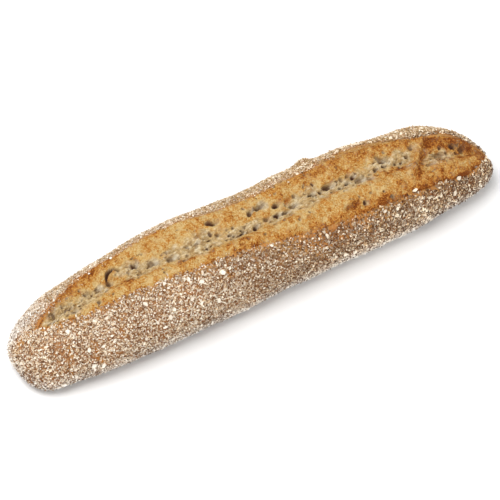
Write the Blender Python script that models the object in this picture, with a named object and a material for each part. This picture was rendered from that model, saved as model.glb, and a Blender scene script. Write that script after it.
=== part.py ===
"""Multigrain loaf: a long hearth-baked loaf, slashed once along its top and rolled in bran flakes.

The loaf lies along X on a flat base at Z = 0, its middle over the origin, with its front at -Y.
All sizes are in metres and all angles in radians. The loaf is one solid. Its crust, the torn crumb
in the slash and the largest bran flakes are fused, as they are on the real one.
"""

import math

import bmesh
import bpy
import numpy as np
from mathutils import Matrix, Vector, noise

# The whole loaf
LENGTH = 0.398
WIDTH = 0.0815
HEIGHT = 0.0590
WAIST_HEIGHT = 0.0245
BASE_CUT = 0.0060
NOSE_DROP = 0.55
BEND = 0.0028
OUTLINE_POWER = 3.5
CROWN_POWER = 2.7
BASE_POWER = 2.7

# Swells and dips: place along X, angle from the top in degrees, reach along X, reach round, height
SWELLS = (
    (-0.172, -72, 0.032, 50, 0.0024),
    (-0.085, -62, 0.018, 50, 0.0022),
    (-0.052, -62, 0.022, 50, 0.0020),
    (0.016, -60, 0.020, 50, -0.0009),
    (0.123, -56, 0.016, 50, -0.0010),
    (0.156, -54, 0.013, 40, 0.0024),
    (0.191, -10, 0.011, 65, -0.0028),
    (-0.190, 104, 0.013, 40, 0.0024),
    (0.020, 115, 0.060, 30, -0.0013),
    (0.155, 112, 0.022, 35, -0.0018),
)
# A knob of dough on the back shoulder: place along X, angle from the top, reach, height
KNOB = (0.061, math.radians(-47), 0.0072, 0.0044)

# The slash: its edges and its lowest line as (X, Y) on the crown
BACK_LIP = (
    (-0.179, 0.004),
    (-0.160, 0.011),
    (-0.115, 0.018),
    (-0.055, 0.018),
    (-0.010, 0.012),
    (0.040, 0.012),
    (0.100, 0.012),
    (0.140, 0.006),
    (0.168, 0.000),
    (0.194, -0.012),
)
FRONT_LIP = (
    (-0.179, 0.001),
    (-0.160, -0.009),
    (-0.120, -0.016),
    (-0.080, -0.020),
    (-0.020, -0.024),
    (0.030, -0.030),
    (0.090, -0.032),
    (0.140, -0.031),
    (0.176, -0.026),
    (0.194, -0.015),
)
SEAM = (
    (-0.179, 0.002),
    (-0.120, 0.000),
    (-0.060, -0.008),
    (-0.015, -0.012),
    (0.045, -0.006),
    (0.120, -0.007),
    (0.160, -0.011),
    (0.194, -0.013),
)
EAR_RISE = 0.0024
LIP_RISE = 0.0010
LIP_REACH = 0.0045
VALLEY_DEPTH = 0.0048
ROLL_RISE = 0.0014
ROLL_SHARE = 0.6
SLASH_FADE = 0.018
# Powers that shape the slash's walls: the ear's underside and the front roll
EAR_POWER = 1.5
ROLL_POWER = 1.3
# How far off the middle the lowest line may run, and how far round the sides the edges may
SEAM_LIMIT = 0.6
LIP_LIMIT = 0.9

# Torn crumb in the slash
CRAG_SIZE = 0.010
CRAG_DEPTH = 0.0018
# The largest pores and hollows: X, Y, length, width, depth
PORES = (
    (-0.164, 0.006, 0.007, 0.007, 0.0022),
    (-0.152, -0.003, 0.008, 0.006, 0.0026),
    (-0.121, 0.005, 0.006, 0.006, 0.0026),
    (-0.113, 0.010, 0.013, 0.006, 0.0042),
    (-0.097, 0.006, 0.008, 0.007, 0.0038),
    (-0.086, -0.002, 0.011, 0.009, 0.0024),
    (-0.073, -0.007, 0.010, 0.007, 0.0024),
    (-0.036, 0.001, 0.012, 0.008, 0.0028),
    (-0.032, 0.008, 0.011, 0.005, 0.0038),
    (-0.008, -0.014, 0.009, 0.006, 0.0028),
    (0.002, 0.004, 0.018, 0.008, 0.0030),
    (0.018, -0.010, 0.014, 0.006, 0.0026),
    (0.046, -0.005, 0.010, 0.005, 0.0034),
    (0.061, -0.004, 0.011, 0.006, 0.0038),
    (0.070, -0.028, 0.018, 0.007, 0.0020),
    (0.080, -0.006, 0.013, 0.009, 0.0042),
    (0.108, -0.003, 0.010, 0.009, 0.0032),
    (0.125, -0.006, 0.012, 0.007, 0.0026),
    (0.148, -0.007, 0.020, 0.018, 0.0022),
    (0.169, -0.006, 0.007, 0.006, 0.0036),
)

# Crust outside the slash
CRUST_WAVE_SIZE = 0.030
CRUST_WAVE_DEPTH = 0.0011

# Rings along the loaf, and columns round each ring
RINGS = 98
SLASH_COLUMNS = 17
SIDE_COLUMNS = 6
BASE_COLUMNS = 3
COLUMNS = SLASH_COLUMNS + 2 * SIDE_COLUMNS + BASE_COLUMNS
LEAST_BAND = math.radians(26)
BASE_CORNER = math.radians(125)

# Bran flakes
FLAKE_COUNT = 140
FLAKE_LENGTH = (0.0036, 0.0060)
FLAKE_WIDTH_SHARE = 0.72
FLAKE_THICKNESS = 0.0019
FLAKE_STAND = 0.12
FLAKE_REACH = 0.985
FLAKE_RIM_CLEARANCE = 0.003
FLAKE_FLOOR_CLEARANCE = 0.0035
FLAKE_SEED = 7
# The plastic number's inverse: steps of it and of its square spread points evenly over a plane
PLASTIC_STEP = 0.7548776662

# Colours, linear RGB
CRUST_COLOUR = (0.40, 0.20, 0.09, 1)
CRUMB_COLOUR = (0.72, 0.42, 0.14, 1)
FLAKE_COLOUR = (0.72, 0.56, 0.38, 1)
BREAD_ROUGHNESS = 0.85


def clear_scene():
    for obj in list(bpy.data.objects):
        bpy.data.objects.remove(obj)


def collection(name, shown=True):
    made = bpy.data.collections.new(name)
    bpy.context.scene.collection.children.link(made)
    made.hide_render = not shown
    return made


def material(name, colour):
    made = bpy.data.materials.new(name)
    made.use_nodes = True
    made.diffuse_color = colour
    shader = made.node_tree.nodes["Principled BSDF"]
    shader.inputs["Base Color"].default_value = colour
    shader.inputs["Roughness"].default_value = BREAD_ROUGHNESS
    shader.inputs["Metallic"].default_value = 0.0
    return made


def smooth_step(value):
    t = min(max(value, 0.0), 1.0)
    return t * t * (3 - 2 * t)


def through(points, x):
    """Height at x of a smooth curve through (x, y) points in order."""
    xs = [p[0] for p in points]
    ys = [p[1] for p in points]
    slopes = np.gradient(ys, xs)
    x = min(max(x, xs[0]), xs[-1])
    k = min(int(np.searchsorted(xs, x, side="right")) - 1, len(xs) - 2)
    span = xs[k + 1] - xs[k]
    t = (x - xs[k]) / span
    rise = ys[k + 1] - ys[k]
    pull_a = slopes[k] * span - rise
    pull_b = rise - slopes[k + 1] * span
    return ys[k] + rise * t + t * (1 - t) * (pull_a * (1 - t) + pull_b * t)


def taper(x, power):
    """Share of the full width or height left at x, round at both noses."""
    share = min(abs(x) / (LENGTH / 2), 1.0)
    return (1 - share**power) ** (1 / power)


def bend(x):
    """How far the loaf's middle line lies off the X axis: both noses come forwards a little."""
    return BEND * (1 / 3 - (2 * x / LENGTH) ** 2)


def hull_point(x, angle):
    """The loaf's plain form. The angle runs from the top, and is positive towards the front."""
    narrow = taper(x, OUTLINE_POWER)
    share = min(abs(x) / (LENGTH / 2), 1.0)
    waist = WAIST_HEIGHT * (1 - NOSE_DROP * share**4)
    side = -math.sin(angle)
    if math.cos(angle) >= 0:
        y = WIDTH / 2 * narrow * side
        z = waist + (HEIGHT - WAIST_HEIGHT) * taper(x, CROWN_POWER) * math.cos(angle)
    else:
        square = 2 / BASE_POWER
        y = WIDTH / 2 * narrow * math.copysign(abs(side) ** square, side)
        z = waist - (waist + BASE_CUT) * narrow * abs(math.cos(angle)) ** square
    return Vector((x, y + bend(x), z))


def lip_angles(x):
    """The angles of the slash's back and front edges at x."""
    reach = max(WIDTH / 2 * taper(x, OUTLINE_POWER), 1e-4)
    edges = []
    for lip in (BACK_LIP, FRONT_LIP):
        sine = min(max((bend(x) - through(lip, x)) / reach, -LIP_LIMIT), LIP_LIMIT)
        edges.append(math.asin(sine))
    return edges


def band_angles(x):
    """The angles that the slash's mesh columns span, never narrower than LEAST_BAND."""
    back, front = lip_angles(x)
    middle = (back + front) / 2
    half = max((front - back) / 2, LEAST_BAND / 2)
    return middle - half, middle + half


def opening(x):
    """How far the slash is open at x, from 0 past its ends to 1."""
    start = smooth_step((x - BACK_LIP[0][0]) / SLASH_FADE)
    end = smooth_step((BACK_LIP[-1][0] - x) / SLASH_FADE)
    return start * end


def seam_share(x):
    """Where the slash's lowest line runs at x, as a share across it from -1 (back) to 1 (front)."""
    back = through(BACK_LIP, x)
    front = through(FRONT_LIP, x)
    share = (back + front - 2 * through(SEAM, x)) / max(back - front, 1e-4)
    return min(max(share, -SEAM_LIMIT), SEAM_LIMIT)


def slash_profile(x, across):
    """The torn crumb's height over the hull, across the slash from -1 (back lip) to 1 (front lip)."""
    seam = seam_share(x)
    if across < seam:
        t = (across + 1) / (seam + 1)
        return EAR_RISE * (1 - t) ** 2 - VALLEY_DEPTH * math.sin(t * math.pi / 2) ** EAR_POWER
    t = (across - seam) / (1 - seam)
    roll = (ROLL_RISE + VALLEY_DEPTH) * math.sin(min(t / ROLL_SHARE, 1) * math.pi / 2) ** ROLL_POWER
    settle = smooth_step((t - ROLL_SHARE) / (1 - ROLL_SHARE))
    return roll - VALLEY_DEPTH + (LIP_RISE - ROLL_RISE) * settle


def pore_depth(x, y):
    deepest = 0.0
    for px, py, length, width, depth in PORES:
        spread = ((x - px) / (length / 2)) ** 2 + ((y - py) / (width / 2)) ** 2
        deepest = max(deepest, depth * math.exp(-spread))
    return deepest


def crags(place):
    return CRAG_DEPTH * noise.fractal(place / CRAG_SIZE, 0.8, 2.0, 3)


def loaf_point(x, angle):
    """A point on the baked loaf's surface. Angles past the base count back from the top."""
    if angle > math.pi:
        angle -= 2 * math.pi
    base = hull_point(x, angle)
    out = Vector((0, -math.sin(angle), math.cos(angle)))
    back, front = lip_angles(x)
    across = (2 * angle - back - front) / max(front - back, 1e-3)
    opened = opening(x)
    wave = CRUST_WAVE_DEPTH * noise.fractal(base / CRUST_WAVE_SIZE, 1.0, 2.0, 2)
    if abs(across) < 1 and opened > 0:
        torn = slash_profile(x, across) + crags(base) - pore_depth(x, base.y)
        rise = wave + torn * opened
    else:
        beyond = (abs(across) - 1) * (front - back) / 2 * WIDTH / 2
        edge = EAR_RISE if across < 0 else LIP_RISE
        rise = wave + edge * opened * math.exp(-beyond / LIP_REACH)
    for place, turn, reach, spread, height in SWELLS:
        round_share = (1 - math.cos(angle - math.radians(turn))) / (1 - math.cos(math.radians(spread)))
        rise += height * math.exp(-(((x - place) / reach) ** 2) - round_share)
    place, turn, reach, height = KNOB
    apart = (base - hull_point(place, turn)).length
    rise += height * math.exp(-((apart / reach) ** 2))
    point = base + out * rise
    point.z = max(point.z, 0.0)
    return point


def even_stations(count):
    """X values along the loaf, evenly spaced on its outline, from nose to nose."""
    turn = np.linspace(-math.pi / 2, math.pi / 2, 4001)
    xs = LENGTH / 2 * np.sin(turn)
    half_widths = np.array([WIDTH / 2 * taper(x, OUTLINE_POWER) for x in xs])
    steps = np.hypot(np.diff(xs), np.diff(half_widths))
    run = np.concatenate([[0.0], np.cumsum(steps)])
    return np.interp(np.linspace(0, run[-1], count), run, xs)


def column_angles(x):
    """The angles of a ring's columns, from the back lip over the front and round under the base."""
    back, front = band_angles(x)
    slash = np.linspace(back, front, SLASH_COLUMNS, endpoint=False)
    front_side = np.linspace(front, BASE_CORNER, SIDE_COLUMNS, endpoint=False)
    base = np.linspace(BASE_CORNER, 2 * math.pi - BASE_CORNER, BASE_COLUMNS, endpoint=False)
    back_side = np.linspace(2 * math.pi - BASE_CORNER, 2 * math.pi + back, SIDE_COLUMNS, endpoint=False)
    return np.concatenate([slash, front_side, base, back_side])


def make_loaf(parts, crust, crumb):
    """A UV sphere, its poles at the noses, moved ring by ring onto the loaf."""
    bm = bmesh.new()
    bmesh.ops.create_uvsphere(bm, u_segments=COLUMNS, v_segments=RINGS - 1, radius=1.0)
    stations = even_stations(RINGS)
    ring_angles = [column_angles(x) for x in stations]
    for vert in bm.verts:
        latitude = math.asin(min(max(vert.co.z, -1.0), 1.0))
        longitude = math.atan2(vert.co.y, vert.co.x) % (2 * math.pi)
        ring = round((latitude + math.pi / 2) / math.pi * (RINGS - 1))
        column = round(longitude / (2 * math.pi) * COLUMNS) % COLUMNS
        vert.co = loaf_point(stations[ring], ring_angles[ring][column])
    bm.normal_update()
    bmesh.ops.recalc_face_normals(bm, faces=bm.faces)
    for face in bm.faces:
        middle = face.calc_center_median()
        in_slash = through(FRONT_LIP, middle.x) < middle.y < through(BACK_LIP, middle.x)
        face.material_index = int(in_slash and middle.z > WAIST_HEIGHT / 2 and opening(middle.x) > 0)
        face.smooth = True
    mesh = bpy.data.meshes.new("loaf")
    bm.to_mesh(mesh)
    bm.free()
    mesh.materials.append(crust)
    mesh.materials.append(crumb)
    loaf = bpy.data.objects.new("loaf", mesh)
    parts.objects.link(loaf)
    return loaf


def flake_places():
    """Spots on the crust for the largest flakes: evenly spread along a low-discrepancy sequence."""
    rng = np.random.default_rng(FLAKE_SEED)
    places = []
    step = 0
    while len(places) < FLAKE_COUNT:
        step += 1
        x = LENGTH / 2 * (2 * ((step * PLASTIC_STEP) % 1.0) - 1) * FLAKE_REACH
        back, front = lip_angles(x)
        if opening(x) <= 0:
            back = front = (back + front) / 2
        angle = front + (step * PLASTIC_STEP**2) % 1.0 * (2 * math.pi + back - front)
        point = loaf_point(x, angle)
        clear_of_rim = min(angle - front, 2 * math.pi + back - angle) * WIDTH / 2
        if clear_of_rim < FLAKE_RIM_CLEARANCE or point.z < FLAKE_FLOOR_CLEARANCE:
            continue
        places.append((point, rng.uniform(0, math.pi), rng.uniform(*FLAKE_LENGTH)))
    return places


def make_flakes(loaf, bran, flake_material):
    """Each flake is a flat 20-sided pebble, half sunk in the crust's own facets."""
    for number, (point, spin, length) in enumerate(flake_places()):
        _, spot, normal, _ = loaf.closest_point_on_mesh(point)
        bm = bmesh.new()
        bmesh.ops.create_icosphere(bm, subdivisions=1, radius=0.5)
        size = Matrix.Diagonal((length, length * FLAKE_WIDTH_SHARE, FLAKE_THICKNESS, 1))
        stand = normal.to_track_quat("Z", "Y").to_matrix().to_4x4()
        bmesh.ops.transform(bm, matrix=stand @ Matrix.Rotation(spin, 4, "Z") @ size, verts=bm.verts)
        bmesh.ops.translate(bm, vec=spot + normal * FLAKE_THICKNESS * FLAKE_STAND, verts=bm.verts)
        mesh = bpy.data.meshes.new("bran_flake")
        bm.to_mesh(mesh)
        bm.free()
        mesh.materials.append(flake_material)
        flake = bpy.data.objects.new(f"bran_flake_{number:03d}", mesh)
        bran.objects.link(flake)


def fuse(loaf, bran):
    """Joins the flakes to the loaf, and removes their own objects."""
    join = loaf.modifiers.new("fuse_bran", "BOOLEAN")
    join.operation = "UNION"
    join.operand_type = "COLLECTION"
    join.collection = bran
    join.solver = "EXACT"
    join.material_mode = "TRANSFER"
    bpy.context.view_layer.objects.active = loaf
    bpy.ops.object.modifier_apply(modifier=join.name)
    for flake in list(bran.objects):
        bpy.data.objects.remove(flake)
    bpy.data.collections.remove(bran)


def centre(loaf):
    """Sets the loaf's bounding box squarely over the origin, as the ear and the knob widen its back."""
    ys = [corner[1] for corner in loaf.bound_box]
    loaf.data.transform(Matrix.Translation((0, -(min(ys) + max(ys)) / 2, 0)))


def main():
    clear_scene()
    parts = collection("multigrain_loaf")
    bran = collection("bran_flakes", shown=False)
    crust = material("baked_crust", CRUST_COLOUR)
    crumb = material("torn_crumb", CRUMB_COLOUR)
    flake_material = material("bran_flake", FLAKE_COLOUR)
    loaf = make_loaf(parts, crust, crumb)
    make_flakes(loaf, bran, flake_material)
    fuse(loaf, bran)
    centre(loaf)


main()
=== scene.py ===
"""Looks of the multigrain loaf: a long hearth-baked loaf, slashed once and rolled in bran.

The loaf's skin is one closed mesh on the form of its CAD solid, with finer pores, folds and strands
in its torn slash. Bran, cracked wheat and oat flakes cover the crust as joined meshes, one for each
kind. Sizes are in metres and angles in radians. The loaf lies along X with its front at -Y.
"""
import math

import bmesh
import bpy
import numpy as np
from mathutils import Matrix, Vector, noise


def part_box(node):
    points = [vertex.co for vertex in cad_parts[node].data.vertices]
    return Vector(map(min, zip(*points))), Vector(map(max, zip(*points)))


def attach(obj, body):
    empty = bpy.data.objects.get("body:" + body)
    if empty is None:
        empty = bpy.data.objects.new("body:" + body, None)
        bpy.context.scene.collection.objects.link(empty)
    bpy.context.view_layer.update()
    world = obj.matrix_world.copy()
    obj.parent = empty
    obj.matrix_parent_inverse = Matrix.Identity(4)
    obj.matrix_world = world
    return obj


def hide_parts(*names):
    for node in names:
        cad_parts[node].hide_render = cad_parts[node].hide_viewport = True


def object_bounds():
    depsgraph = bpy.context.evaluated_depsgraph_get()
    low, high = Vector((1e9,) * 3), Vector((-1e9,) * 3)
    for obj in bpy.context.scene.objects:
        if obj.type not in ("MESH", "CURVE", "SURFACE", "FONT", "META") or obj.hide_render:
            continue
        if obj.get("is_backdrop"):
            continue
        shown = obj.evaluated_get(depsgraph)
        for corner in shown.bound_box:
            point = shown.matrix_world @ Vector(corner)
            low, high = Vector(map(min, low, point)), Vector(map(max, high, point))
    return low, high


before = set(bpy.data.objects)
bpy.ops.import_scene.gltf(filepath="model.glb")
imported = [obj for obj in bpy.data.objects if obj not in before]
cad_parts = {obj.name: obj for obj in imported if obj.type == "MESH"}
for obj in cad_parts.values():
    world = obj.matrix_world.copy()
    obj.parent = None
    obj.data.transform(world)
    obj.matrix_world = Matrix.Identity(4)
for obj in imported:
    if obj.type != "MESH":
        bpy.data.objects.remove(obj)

CAD_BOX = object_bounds()
LOAF_LOW, LOAF_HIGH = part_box("loaf")

# The whole loaf, as in the CAD
LENGTH = LOAF_HIGH.x - LOAF_LOW.x
WIDTH = 0.0815
HEIGHT = 0.0590
WAIST_HEIGHT = 0.0245
BASE_CUT = 0.0060
NOSE_DROP = 0.55
BEND = 0.0028
OUTLINE_POWER = 3.5
CROWN_POWER = 2.7
BASE_POWER = 2.7
# The whole is set this far forwards, so that its box lies squarely over the origin
SET_FORWARD = 0.00148
# The skin's underside stays this far off the floor, and stands on its own bran
FLOOR_GAP = 0.0004

# Swells and dips: place along X, angle from the top in degrees, reach along X, reach round, height
SWELLS = (
    (-0.172, -72, 0.032, 50, 0.0024),
    (-0.085, -62, 0.018, 50, 0.0022),
    (-0.052, -62, 0.022, 50, 0.0020),
    (0.016, -60, 0.020, 50, -0.0009),
    (0.123, -56, 0.016, 50, -0.0010),
    (0.156, -54, 0.013, 40, 0.0024),
    (0.191, -10, 0.011, 65, -0.0028),
    (-0.190, 104, 0.013, 40, 0.0024),
    (0.020, 115, 0.060, 30, -0.0013),
    (0.155, 112, 0.022, 35, -0.0018),
)
# A knob of dough on the back shoulder: place along X, angle from the top, reach, height
KNOB = (0.061, math.radians(-47), 0.0072, 0.0044)

# The slash: its edges and its lowest line as (X, Y) on the crown
BACK_LIP = (
    (-0.179, 0.004),
    (-0.160, 0.011),
    (-0.115, 0.018),
    (-0.055, 0.018),
    (-0.010, 0.012),
    (0.040, 0.012),
    (0.100, 0.012),
    (0.140, 0.006),
    (0.168, 0.000),
    (0.194, -0.012),
)
FRONT_LIP = (
    (-0.179, 0.001),
    (-0.160, -0.009),
    (-0.120, -0.016),
    (-0.080, -0.020),
    (-0.020, -0.024),
    (0.030, -0.030),
    (0.090, -0.032),
    (0.140, -0.031),
    (0.176, -0.026),
    (0.194, -0.015),
)
SEAM = (
    (-0.179, 0.002),
    (-0.120, 0.000),
    (-0.060, -0.008),
    (-0.015, -0.012),
    (0.045, -0.006),
    (0.120, -0.007),
    (0.160, -0.011),
    (0.194, -0.013),
)
EAR_RISE = 0.0024
LIP_RISE = 0.0010
LIP_REACH = 0.0045
VALLEY_DEPTH = 0.0048
ROLL_RISE = 0.0014
ROLL_SHARE = 0.6
SLASH_FADE = 0.018
EAR_POWER = 1.5
ROLL_POWER = 1.3
SEAM_LIMIT = 0.6
LIP_LIMIT = 0.9

# Relief: size and depth of each layer
CRUST_WAVE = (0.030, 0.0011)
CRAGS = (0.010, 0.0018)
WRINKLES = (0.0032, 0.00095)
STRANDS = (0.0028, 0.00085)
STRAND_SLANT = math.radians(24)
STRAND_STRETCH = 4.0

# The largest pores and hollows: X, Y, length, width, depth, darkness, turn in degrees
PORES = (
    (-0.165, 0.006, 0.006, 0.004, 0.0020, 0.7, 60),
    (-0.154, -0.005, 0.007, 0.006, 0.0026, 0.55, 0),
    (-0.130, 0.003, 0.006, 0.005, 0.0020, 0.5, 20),
    (-0.121, 0.003, 0.006, 0.006, 0.0026, 0.75, 0),
    (-0.098, 0.006, 0.007, 0.006, 0.0038, 1.0, 20),
    (-0.097, -0.004, 0.004, 0.003, 0.0024, 1.0, 0),
    (-0.096, 0.012, 0.004, 0.002, 0.0016, 0.8, 0),
    (-0.091, 0.012, 0.004, 0.002, 0.0016, 0.8, 0),
    (-0.087, -0.001, 0.009, 0.008, 0.0026, 0.55, 0),
    (-0.073, -0.004, 0.009, 0.006, 0.0024, 0.55, 0),
    (-0.051, -0.003, 0.006, 0.004, 0.0020, 0.5, 20),
    (-0.048, 0.003, 0.007, 0.005, 0.0020, 0.3, 0),
    (-0.047, -0.011, 0.004, 0.003, 0.0020, 0.9, 0),
    (-0.041, -0.004, 0.004, 0.003, 0.0024, 0.9, 0),
    (-0.038, 0.000, 0.005, 0.005, 0.0026, 0.8, 0),
    (-0.0335, -0.003, 0.005, 0.004, 0.0024, 0.6, 0),
    (-0.033, 0.007, 0.011, 0.0045, 0.0044, 1.0, -16),
    (-0.026, -0.008, 0.005, 0.003, 0.0020, 0.8, 0),
    (-0.0245, -0.0195, 0.004, 0.002, 0.0012, 0.25, 0),
    (-0.021, -0.003, 0.004, 0.003, 0.0016, 0.7, 40),
    (-0.0175, -0.011, 0.007, 0.003, 0.0026, 1.0, 20),
    (-0.0035, 0.002, 0.009, 0.005, 0.0036, 0.85, 40),
    (-0.0065, -0.012, 0.006, 0.005, 0.0030, 1.0, 30),
    (0.004, -0.009, 0.006, 0.004, 0.0020, 0.5, -30),
    (0.005, 0.0035, 0.013, 0.006, 0.0034, 0.6, 10),
    (0.0134, -0.009, 0.008, 0.004, 0.0030, 1.0, 0),
    (0.0168, -0.001, 0.008, 0.004, 0.0036, 1.0, 5),
    (0.020, -0.010, 0.008, 0.004, 0.0026, 0.6, 0),
    (0.0265, -0.002, 0.010, 0.008, 0.0020, 0.2, 30),
    (0.028, -0.007, 0.009, 0.005, 0.0022, 0.5, 0),
    (0.0446, -0.0045, 0.008, 0.0034, 0.0036, 1.0, 10),
    (0.050, 0.002, 0.004, 0.003, 0.0016, 0.9, 0),
    (0.053, -0.005, 0.005, 0.003, 0.0030, 1.0, 0),
    (0.060, -0.0035, 0.011, 0.006, 0.0042, 0.9, 0),
    (0.068, -0.003, 0.004, 0.002, 0.0020, 0.9, 0),
    (0.0744, -0.008, 0.005, 0.005, 0.0034, 1.0, 50),
    (0.081, -0.005, 0.007, 0.004, 0.0036, 1.0, 30),
    (0.078, -0.002, 0.005, 0.005, 0.0026, 0.5, 0),
    (0.084, -0.010, 0.009, 0.008, 0.0034, 0.5, 0),
    (0.091, -0.013, 0.007, 0.006, 0.0018, 0.45, 0),
    (0.100, -0.0065, 0.005, 0.004, 0.0024, 0.8, 0),
    (0.107, -0.0065, 0.005, 0.004, 0.0032, 1.0, 20),
    (0.1085, 0.000, 0.012, 0.006, 0.0030, 0.5, -35),
    (0.117, -0.007, 0.003, 0.003, 0.0018, 0.9, 0),
    (0.118, -0.012, 0.003, 0.003, 0.0018, 0.7, 0),
    (0.122, -0.008, 0.004, 0.003, 0.0020, 0.9, 0),
    (0.1275, -0.005, 0.004, 0.004, 0.0026, 1.0, 0),
    (0.135, 0.000, 0.006, 0.004, 0.0020, 0.6, 0),
    (0.141, -0.018, 0.009, 0.004, 0.0020, 0.45, 0),
    (0.154, -0.011, 0.014, 0.008, 0.0026, 0.45, 0),
    (0.157, -0.006, 0.004, 0.003, 0.0016, 0.9, 0),
    (0.1685, -0.006, 0.008, 0.006, 0.0040, 1.0, 0),
    (0.1687, -0.012, 0.004, 0.004, 0.0020, 0.7, 0),
    (0.175, -0.009, 0.007, 0.006, 0.0026, 0.55, 0),
    (0.0665, -0.026, 0.018, 0.005, 0.0022, 0.32, 8),
    (0.076, -0.0275, 0.005, 0.004, 0.0026, 1.0, 0),
    (0.0975, -0.0295, 0.004, 0.003, 0.0018, 0.7, 0),
)
# A crescent-shaped pore: the middle X, Y and radius of its arc, the arc's ends in degrees, width, depth
CRESCENT = (-0.1140, 0.0033, 0.0077, 52, 162, 0.0030, 0.0038)
# Patches where the pale open crumb shows: X, Y, length, width
CRUMB_PATCHES = (
    (-0.158, 0.001, 0.032, 0.018),
    (-0.140, -0.001, 0.034, 0.018),
    (-0.106, 0.007, 0.024, 0.010),
    (-0.094, -0.001, 0.034, 0.013),
    (-0.068, -0.002, 0.024, 0.015),
    (-0.050, -0.005, 0.046, 0.021),
    (-0.016, -0.009, 0.044, 0.010),
    (0.006, 0.003, 0.014, 0.008),
    (0.016, -0.011, 0.034, 0.009),
    (0.042, -0.007, 0.044, 0.017),
    (0.075, -0.008, 0.046, 0.015),
    (0.106, -0.004, 0.028, 0.014),
    (0.122, -0.005, 0.024, 0.014),
    (0.152, -0.013, 0.032, 0.012),
)
# Patches baked to orange or brown: X, Y, length, width, strength
TOASTED_PATCHES = (
    (-0.109, -0.007, 0.014, 0.006, 0.34),
    (-0.099, 0.009, 0.012, 0.007, 0.20),
    (-0.0716, -0.014, 0.016, 0.007, 0.25),
    (-0.052, -0.014, 0.018, 0.010, 0.12),
    (-0.048, 0.006, 0.014, 0.010, 0.20),
    (-0.010, -0.022, 0.030, 0.006, 0.15),
    (0.0265, -0.001, 0.012, 0.009, 0.20),
    (0.050, 0.009, 0.034, 0.009, 0.26),
    (0.041, 0.001, 0.018, 0.008, 0.12),
    (0.026, -0.029, 0.040, 0.007, 0.18),
    (0.068, -0.026, 0.024, 0.007, 0.26),
    (0.098, -0.029, 0.030, 0.007, 0.18),
    (0.116, -0.025, 0.022, 0.007, 0.20),
    (0.127, 0.013, 0.040, 0.012, 0.18),
    (0.152, 0.002, 0.016, 0.014, 0.14),
    (0.177, -0.004, 0.026, 0.016, 0.20),
)
# Cells of the open crumb: size and depth
CELLS = (0.0032, 0.0013)
SMALL_PORE_TRIES = 3000
SMALL_PORE_RADIUS = (0.00035, 0.00140)
# The share of the tries that make a pore: on the golden skin, and how many more in the open crumb
SMALL_PORE_CHANCE = (0.05, 0.30)
SMALL_PORE_SEED = 11
PORE_RIM = 0.12
# How far the torn edge wanders, how far the bran's own edge frays, and how far each lip's glow
# reaches into the crust
RAGGED_LIP = 0.0026
FRAY = 0.0022
FRONT_GLOW = 0.0040
BACK_GLOW = 0.0120
# How far below the front lip the bran is thinner
UNDER_LIP = 0.0090
# How much of the bran is missing at each place
BARER = {"base": 0.8, "red": 0.36, "crack": 0.9, "under_lip": 0.30, "spot": 0.8}
# How far the bare baked edge reaches past each lip along X
BACK_BARE = (
    (-0.180, 0.0006),
    (-0.130, 0.0018),
    (-0.060, 0.0024),
    (0.000, 0.0026),
    (0.050, 0.0020),
    (0.075, 0.0085),
    (0.115, 0.0100),
    (0.132, 0.0034),
    (0.156, 0.0034),
    (0.172, 0.0100),
    (0.186, 0.0150),
    (0.199, 0.0150),
)
FRONT_BARE = ((-0.18, 0.0), (-0.02, 0.0004), (0.02, 0.0010), (0.05, 0.0012), (0.08, 0.0010), (0.199, 0.0014))
# A red, thinly strewn patch below the front lip: its X, its reach along X and down the side
RED_PATCH = (0.048, 0.042, 0.032)
# The largest pale flakes, each at its own place: X, Y, Z, length
LARGE_FLAKES = (
    (-0.1648, -0.0158, 0.0405, 0.0044),
    (-0.1576, -0.0315, 0.0320, 0.0036),
    (-0.1567, -0.0365, 0.0204, 0.0042),
    (-0.1813, -0.0143, 0.0332, 0.0034),
    (-0.0469, -0.0307, 0.0475, 0.0052),
    (-0.0644, -0.0308, 0.0474, 0.0040),
    (-0.0951, -0.0386, 0.0358, 0.0046),
    (-0.1004, -0.0402, 0.0305, 0.0040),
    (-0.0758, -0.0365, 0.0414, 0.0036),
    (-0.0565, -0.0405, 0.0330, 0.0040),
    (0.1567, -0.0320, 0.0332, 0.0050),
    (0.1176, -0.0326, 0.0425, 0.0044),
    (0.0988, -0.0371, 0.0380, 0.0040),
    (0.1499, -0.0371, 0.0256, 0.0044),
    (0.0521, -0.0397, 0.0190, 0.0048),
    (0.0432, -0.0406, 0.0221, 0.0036),
    (0.0626, -0.0409, 0.0259, 0.0044),
    (0.0606, -0.0398, 0.0167, 0.0038),
    (0.0780, -0.0395, 0.0150, 0.0040),
    (0.0920, -0.0395, 0.0180, 0.0036),
    (0.1136, -0.0395, 0.0301, 0.0034),
    (0.0880, -0.0366, 0.0403, 0.0032),
    (0.0382, -0.0361, 0.0425, 0.0032),
    (-0.0045, -0.0293, 0.0498, 0.0034),
    (-0.0650, -0.0306, 0.0476, 0.0034),
    (-0.1499, -0.0376, 0.0181, 0.0044),
    (-0.1791, -0.0325, 0.0102, 0.0036),
)
# Painted light: how much paler the bran is on the back and on the left end's back, lit from above and
# behind;
# and how much darker it is round the red patch and to the right
BACK_PAINTED_LIGHT = 0.03
LEFT_END_PAINTED_LIGHT = 0.14
RED_DARKER = 0.16
RIGHT_DARKER = 0.165
# Painted light on a paler foot, where the bran sits in shade by the floor: its X, its reach along X, and how
# much paler
FOOT_PAINTED_LIGHT = (0.068, 0.050, 0.55)
# Paler and darker patches in the bran: the least, the depth and the size
BRAN_PATCHES = (0.02, 0.22, 0.03)
# Where each change in the bran's tone starts and ends, along X, Y or Z
LEFT_END = (-0.190, -0.150)
RIGHTWARD = (-0.11, 0.07)
BACKWARD = (0.004, 0.020)
OFF_FLOOR = (0.002, 0.020)
NEAR_LIP = (0.025, 0.042)
FOOT_RISE = (0.012, 0.030)
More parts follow.
